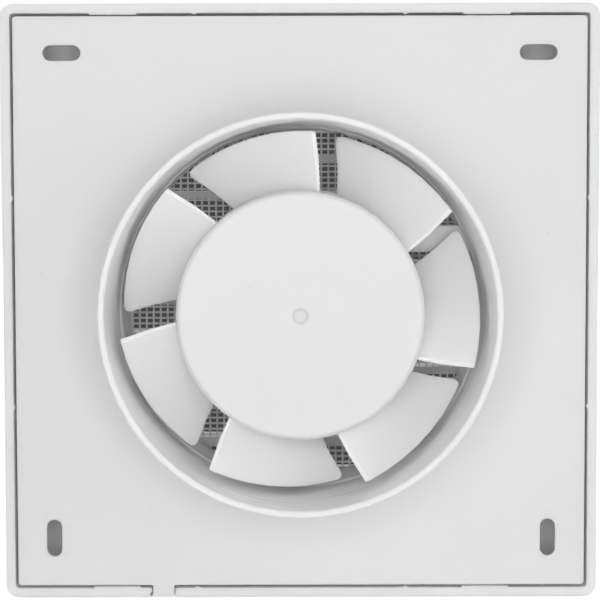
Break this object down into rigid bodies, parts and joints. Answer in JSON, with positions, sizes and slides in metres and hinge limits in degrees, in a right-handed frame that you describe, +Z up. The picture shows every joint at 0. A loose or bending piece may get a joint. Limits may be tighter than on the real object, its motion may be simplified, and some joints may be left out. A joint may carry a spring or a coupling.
{
  "type": "bathroom extractor fan",
  "caption": "Square wall-mounted axial extractor fan: louvred pull-off front cover with fly screen, back plate with round duct spigot, and bladed impeller driven by a motor in its hub",
  "frame": {"origin": "on the fan's axis, in the plane of the back plate's rear face, which lies against the wall", "axes": "+Y runs out of the duct spigot away from the room, +Z is up on the wall, +X completes the right-handed frame"},
  "size_m": [0.1576, 0.07, 0.1576],
  "materials": {
    "back_housing": "satin white moulded plastic",
    "front_cover": "satin white moulded plastic",
    "fly_screen": "fine off-white moulded mesh",
    "impeller": "satin white moulded plastic",
    "hub_insert": "turned brass",
    "front_motor_bracket": "zinc-plated pressed steel",
    "rear_motor_bracket": "zinc-plated pressed steel",
    "stator_core": "dark stacked electrical steel",
    "coil_former_1": "natural nylon",
    "coil_former_2": "natural nylon",
    "coil_former_3": "natural nylon",
    "coil_former_4": "natural nylon",
    "coil_1": "enamelled copper wire",
    "coil_2": "enamelled copper wire",
    "coil_3": "enamelled copper wire",
    "coil_4": "enamelled copper wire",
    "shading_ring_1": "bare copper",
    "shading_ring_2": "bare copper",
    "shading_ring_3": "bare copper",
    "shading_ring_4": "bare copper",
    "front_bearing": "sintered bronze",
    "rear_bearing": "sintered bronze",
    "front_thrust_washer": "natural nylon",
    "rear_thrust_washer": "natural nylon",
    "rotor_core": "cast aluminium round dark steel",
    "motor_shaft": "ground steel",
    "shaft_clip": "spring steel",
    "motor_bolt_1": "zinc-plated steel",
    "motor_bolt_2": "zinc-plated steel",
    "motor_damper_1": "soft black rubber",
    "motor_damper_2": "soft black rubber",
    "motor_damper_3": "soft black rubber",
    "motor_screw_1": "zinc-plated steel",
    "motor_screw_2": "zinc-plated steel",
    "motor_screw_3": "zinc-plated steel",
    "terminal_block": "natural nylon",
    "live_terminal": "nickel-free brass",
    "neutral_terminal": "nickel-free brass",
    "live_terminal_screw_1": "zinc-plated steel",
    "live_terminal_screw_2": "zinc-plated steel",
    "neutral_terminal_screw_1": "zinc-plated steel",
    "neutral_terminal_screw_2": "zinc-plated steel",
    "cable_clamp": "satin white moulded plastic",
    "clamp_screw_1": "zinc-plated steel",
    "clamp_screw_2": "zinc-plated steel",
    "neutral_lead": "blue insulated wire",
    "live_lead": "brown insulated wire",
    "thermal_fuse": "tinned case"
  },
  "bodies": {
    "housing": {"back_housing": "back_housing", "front_motor_bracket": "front_motor_bracket", "rear_motor_bracket": "rear_motor_bracket", "stator_core": "stator_core", "coil_former_1": "coil_former_1", "coil_former_2": "coil_former_2", "coil_former_3": "coil_former_3", "coil_former_4": "coil_former_4", "coil_1": "coil_1", "coil_2": "coil_2", "coil_3": "coil_3", "coil_4": "coil_4", "shading_ring_1": "shading_ring_1", "shading_ring_2": "shading_ring_2", "shading_ring_3": "shading_ring_3", "shading_ring_4": "shading_ring_4", "front_bearing": "front_bearing", "rear_bearing": "rear_bearing", "motor_bolt_1": "motor_bolt_1", "motor_bolt_2": "motor_bolt_2", "motor_damper_1": "motor_damper_1", "motor_damper_2": "motor_damper_2", "motor_damper_3": "motor_damper_3", "motor_screw_1": "motor_screw_1", "motor_screw_2": "motor_screw_2", "motor_screw_3": "motor_screw_3", "terminal_block": "terminal_block", "live_terminal": "live_terminal", "neutral_terminal": "neutral_terminal", "live_terminal_screw_1": "live_terminal_screw_1", "live_terminal_screw_2": "live_terminal_screw_2", "neutral_terminal_screw_1": "neutral_terminal_screw_1", "neutral_terminal_screw_2": "neutral_terminal_screw_2", "cable_clamp": "cable_clamp", "clamp_screw_1": "clamp_screw_1", "clamp_screw_2": "clamp_screw_2", "neutral_lead": "neutral_lead", "live_lead": "live_lead", "thermal_fuse": "thermal_fuse"},
    "impeller": {"impeller": "impeller", "hub_insert": "hub_insert", "front_thrust_washer": "front_thrust_washer", "rear_thrust_washer": "rear_thrust_washer", "rotor_core": "rotor_core", "motor_shaft": "motor_shaft", "shaft_clip": "shaft_clip"},
    "cover": {"front_cover": "front_cover", "fly_screen": "fly_screen"}
  },
  "joints": [
    {"name": "impeller_spin", "type": "hinge", "parent": "housing", "child": "impeller", "pos_m": [0, 0, 0], "axis": [0, 1, 0], "continuous": true},
    {"name": "cover_pull", "type": "slide", "parent": "housing", "child": "cover", "axis": [0, -1, 0], "range_m": [0, 0.03]}
  ]
}
